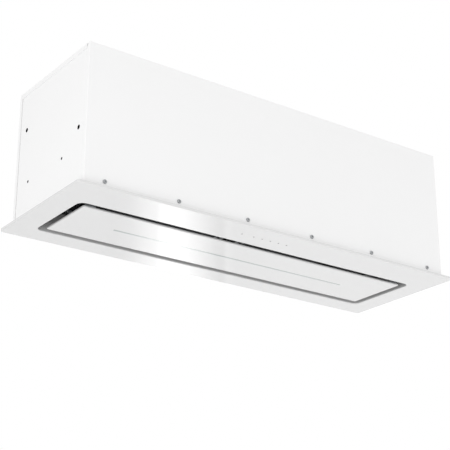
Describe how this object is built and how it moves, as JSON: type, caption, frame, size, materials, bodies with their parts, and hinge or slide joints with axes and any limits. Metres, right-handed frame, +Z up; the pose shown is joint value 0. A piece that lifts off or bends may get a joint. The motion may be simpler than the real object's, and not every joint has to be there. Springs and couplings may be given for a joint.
{
  "type": "ceiling range hood",
  "caption": "White built-in ceiling range hood: sheet steel box with a wide flange, a flush hinged suction panel with a perimeter gap, and a blower inside.",
  "frame": {"origin": "centre of the ceiling cut-out, in the plane of the ceiling's lower face, on which the flange's returned edge seats", "axes": "+X along the hood, +Y away from the touch keys, +Z up into the ceiling"},
  "size_m": [0.9, 0.3, 0.322],
  "materials": {
    "white_gloss": "gloss white enamel on folded steel sheet",
    "white_satin": "satin white powder coat on steel sheet",
    "opal_plastic": "opal acrylic light window",
    "circuit_board": "green solder mask on glass epoxy",
    "black_plastic": "moulded black plastic",
    "grey_plastic": "moulded light grey plastic",
    "zinc_steel": "zinc-plated steel",
    "galvanised": "galvanised steel sheet",
    "black_steel": "matt black coated steel sheet",
    "aluminium_frame": "bright rolled aluminium",
    "aluminium_mesh": "layers of expanded aluminium",
    "magnet_plastic": "black nylon magnet housing",
    "rubber": "black rubber",
    "copper_steel": "laminated steel with copper windings",
    "white_plastic": "moulded white plastic"
  },
  "bodies": {
    "housing": {"frame_bezel": "white_gloss", "key_lenses": "opal_plastic", "key_board": "circuit_board", "control_board": "circuit_board", "key_cover": "grey_plastic", "control_box": "grey_plastic", "control_cover": "grey_plastic", "front_panel": "white_satin", "rear_panel": "white_satin", "end_panel_right": "white_satin", "end_panel_left": "white_satin", "lid": "white_satin", "hanger_plates": "zinc_steel", "side_screws": "zinc_steel", "lid_screws": "zinc_steel", "blower_screws": "zinc_steel", "collar_screws": "zinc_steel", "filter_carrier": "black_steel", "hinge_brackets": "zinc_steel", "hinge_pins": "zinc_steel", "magnet_catches": "magnet_plastic", "scroll_wrap": "galvanised", "scroll_side_left": "galvanised", "scroll_side_right": "galvanised", "inlet_rings": "black_plastic", "motor_can": "zinc_steel", "motor_stator": "copper_steel", "motor_bearings": "zinc_steel", "motor_spider": "zinc_steel", "motor_grommets": "rubber", "duct_collar": "black_plastic", "damper_seat": "rubber", "damper_pin": "zinc_steel", "terminal_block": "white_plastic", "capacitor": "white_plastic", "light_driver": "white_plastic", "cable_gland": "black_plastic"},
    "suction_panel": {"panel_skin": "white_gloss", "panel_backing": "galvanised", "light_diffuser": "opal_plastic", "light_channel": "aluminium_frame", "light_strip": "circuit_board", "hinge_leaves": "zinc_steel", "striker_plates": "zinc_steel"},
    "filter_left": {"filter_frame_left": "aluminium_frame", "filter_mesh_left": "aluminium_mesh", "filter_lug_left": "zinc_steel"},
    "filter_right": {"filter_frame_right": "aluminium_frame", "filter_mesh_right": "aluminium_mesh", "filter_lug_right": "zinc_steel"},
    "pull_left": {"filter_pull_left": "zinc_steel"},
    "pull_right": {"filter_pull_right": "zinc_steel"},
    "impeller": {"impeller_wheel": "black_plastic", "motor_shaft": "zinc_steel", "motor_rotor": "copper_steel"},
    "flap_near": {"damper_flap_near": "black_plastic"},
    "flap_far": {"damper_flap_far": "black_plastic"}
  },
  "joints": [
    {"name": "panel_hinge", "type": "hinge", "parent": "housing", "child": "suction_panel", "pos_m": [0, -0.058, 0.004], "axis": [-1, 0, 0], "range_deg": [0, 85]},
    {"name": "filter_left_slide", "type": "slide", "parent": "housing", "child": "filter_left", "axis": [-1, 0, 0], "range_m": [0, 0.008]},
    {"name": "filter_right_slide", "type": "slide", "parent": "housing", "child": "filter_right", "axis": [1, 0, 0], "range_m": [0, 0.008]},
    {"name": "pull_left_swing", "type": "hinge", "parent": "filter_left", "child": "pull_left", "pos_m": [-0.027, 0.016, 0.03695], "axis": [0, 1, 0], "range_deg": [-80, 80]},
    {"name": "pull_right_swing", "type": "hinge", "parent": "filter_right", "child": "pull_right", "pos_m": [0.027, 0.016, 0.03695], "axis": [0, 1, 0], "range_deg": [-80, 80]},
    {"name": "impeller_spin", "type": "hinge", "parent": "housing", "child": "impeller", "pos_m": [0, -0.02, 0.17927], "axis": [1, 0, 0], "continuous": true},
    {"name": "flap_near_swing", "type": "hinge", "parent": "housing", "child": "flap_near", "pos_m": [0, 0.02698, 0.283], "axis": [-1, 0, 0], "range_deg": [0, 75]},
    {"name": "flap_far_swing", "type": "hinge", "parent": "housing", "child": "flap_far", "pos_m": [0, 0.02698, 0.283], "axis": [1, 0, 0], "range_deg": [0, 75]}
  ]
}
